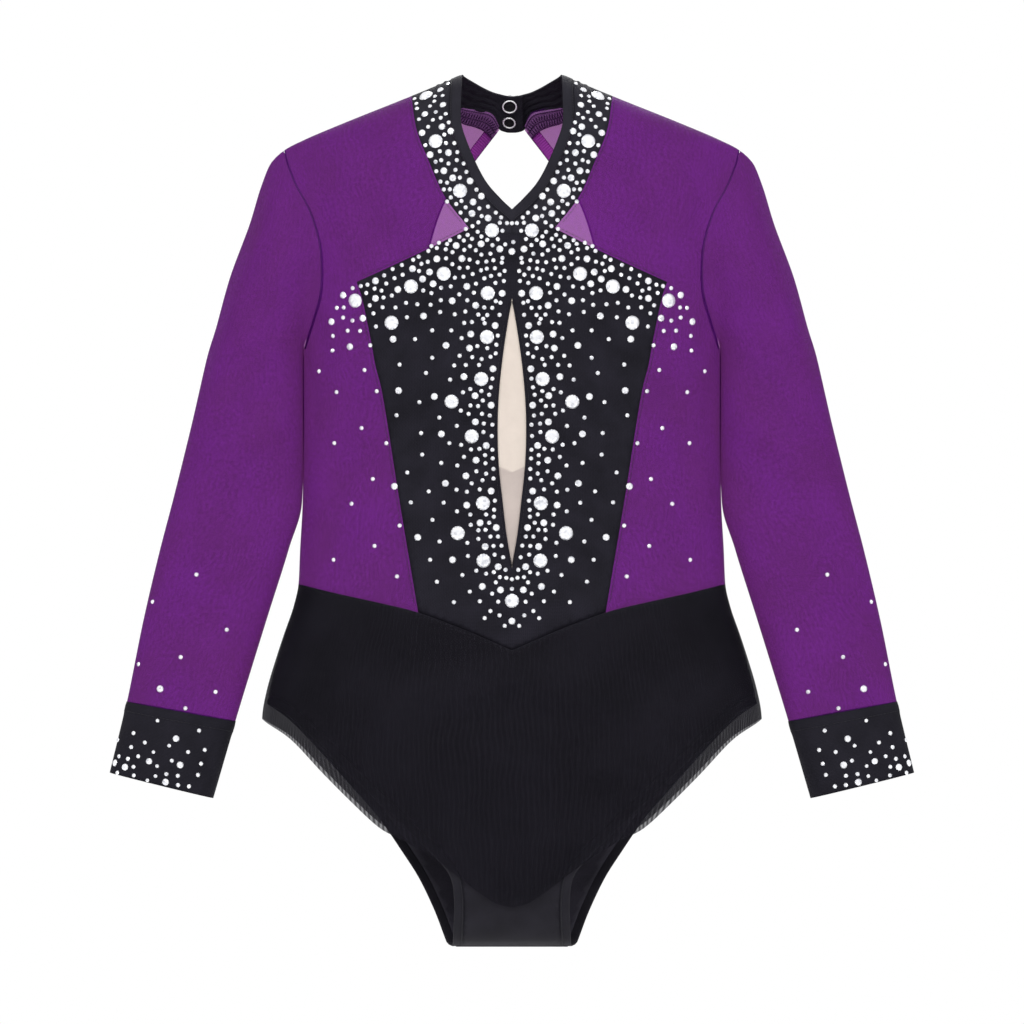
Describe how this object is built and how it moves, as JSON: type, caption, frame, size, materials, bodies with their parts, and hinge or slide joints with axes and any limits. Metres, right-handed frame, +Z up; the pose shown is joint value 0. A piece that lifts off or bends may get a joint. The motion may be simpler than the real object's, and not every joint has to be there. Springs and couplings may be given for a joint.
{
  "type": "long-sleeved gymnastics leotard",
  "caption": "Long-sleeved leotard in sheer purple mesh and black knit, with a keyhole front, open back, snapped collar and crystal trim.",
  "frame": {"origin": "centre line of the garment at the level of the neck base, midway between front and back", "axes": "+Z up the wearer's spine, -Y out of the front, +X towards the viewer's right when facing the front; left and right in names are as seen from the front"},
  "size_m": [0.5224, 0.1164, 0.5667],
  "materials": {
    "purple_mesh": "fine semi-sheer stretch mesh, matt",
    "nude_mesh": "fine skin-tone stretch mesh, matt",
    "black_knit": "black stretch knit with a faint sheen",
    "brief_knit": "black stretch knit, matt",
    "overlay_mesh": "black sheer stretch mesh over the brief",
    "snap_metal": "polished nickel",
    "crystal": "clear faceted flat-back, foiled behind"
  },
  "bodies": {
    "torso": {"apron_back": "overlay_mesh", "apron_front": "overlay_mesh", "back_mesh_left": "purple_mesh", "back_mesh_right": "purple_mesh", "back_panel": "black_knit", "brief_back": "brief_knit", "brief_front": "brief_knit", "collar_front_left": "black_knit", "collar_front_right": "black_knit", "crystal_centre": "crystal", "crystal_collar_a_left": "crystal", "crystal_collar_a_right": "crystal", "crystal_collar_b_left": "crystal", "crystal_collar_b_right": "crystal", "crystal_collar_c_left": "crystal", "crystal_collar_c_right": "crystal", "crystal_keyhole_a_left": "crystal", "crystal_keyhole_a_right": "crystal", "crystal_keyhole_b_left": "crystal", "crystal_keyhole_b_right": "crystal", "crystal_keyhole_c_left": "crystal", "crystal_keyhole_c_right": "crystal", "crystal_keyhole_d_left": "crystal", "crystal_keyhole_d_right": "crystal", "crystal_keyhole_e_left": "crystal", "crystal_keyhole_e_right": "crystal", "crystal_keyhole_f_left": "crystal", "crystal_keyhole_f_right": "crystal", "crystal_keyhole_g_left": "crystal", "crystal_keyhole_g_right": "crystal", "crystal_keyhole_h_left": "crystal", "crystal_keyhole_h_right": "crystal", "crystal_shoulder_a_left": "crystal", "crystal_shoulder_a_right": "crystal", "crystal_yoke_a_left": "crystal", "crystal_yoke_a_right": "crystal", "crystal_yoke_b_left": "crystal", "crystal_yoke_b_right": "crystal", "crystal_yoke_c_left": "crystal", "crystal_yoke_c_right": "crystal", "crystal_yoke_d_left": "crystal", "crystal_yoke_d_right": "crystal", "front_bodice": "black_knit", "front_mesh_left": "purple_mesh", "front_mesh_right": "purple_mesh", "keyhole_insert": "nude_mesh", "leg_binding_left": "brief_knit", "leg_binding_right": "brief_knit", "neck_binding": "black_knit"},
    "left_sleeve": {"sleeve_left": "purple_mesh", "cuff_left": "black_knit"},
    "right_sleeve": {"sleeve_right": "purple_mesh", "cuff_right": "black_knit"},
    "collar_outer": {"collar_back_overlap": "black_knit", "snap_upper_socket": "snap_metal", "snap_lower_socket": "snap_metal"},
    "collar_inner": {"collar_back_underlap": "black_knit", "snap_upper_stud": "snap_metal", "snap_lower_stud": "snap_metal"}
  },
  "joints": [
    {"name": "shoulder_left", "type": "hinge", "parent": "torso", "child": "left_sleeve", "pos_m": [-0.149, 0, -0.0235], "axis": [0, 1, 0], "range_deg": [0, 50]},
    {"name": "shoulder_right", "type": "hinge", "parent": "torso", "child": "right_sleeve", "pos_m": [0.149, 0, -0.0235], "axis": [0, -1, 0], "range_deg": [0, 50]},
    {"name": "collar_outer_hinge", "type": "hinge", "parent": "torso", "child": "collar_outer", "pos_m": [0.0428, 0, 0.0185], "axis": [0.9272, 0, -0.3745], "range_deg": [0, 75]},
    {"name": "collar_inner_hinge", "type": "hinge", "parent": "torso", "child": "collar_inner", "pos_m": [-0.0428, 0, 0.0185], "axis": [0.9272, 0, 0.3745], "range_deg": [0, 75]}
  ],
  "couplings": [
    {"joint": "collar_inner_hinge", "follows": "collar_outer_hinge", "ratio": 1}
  ]
}
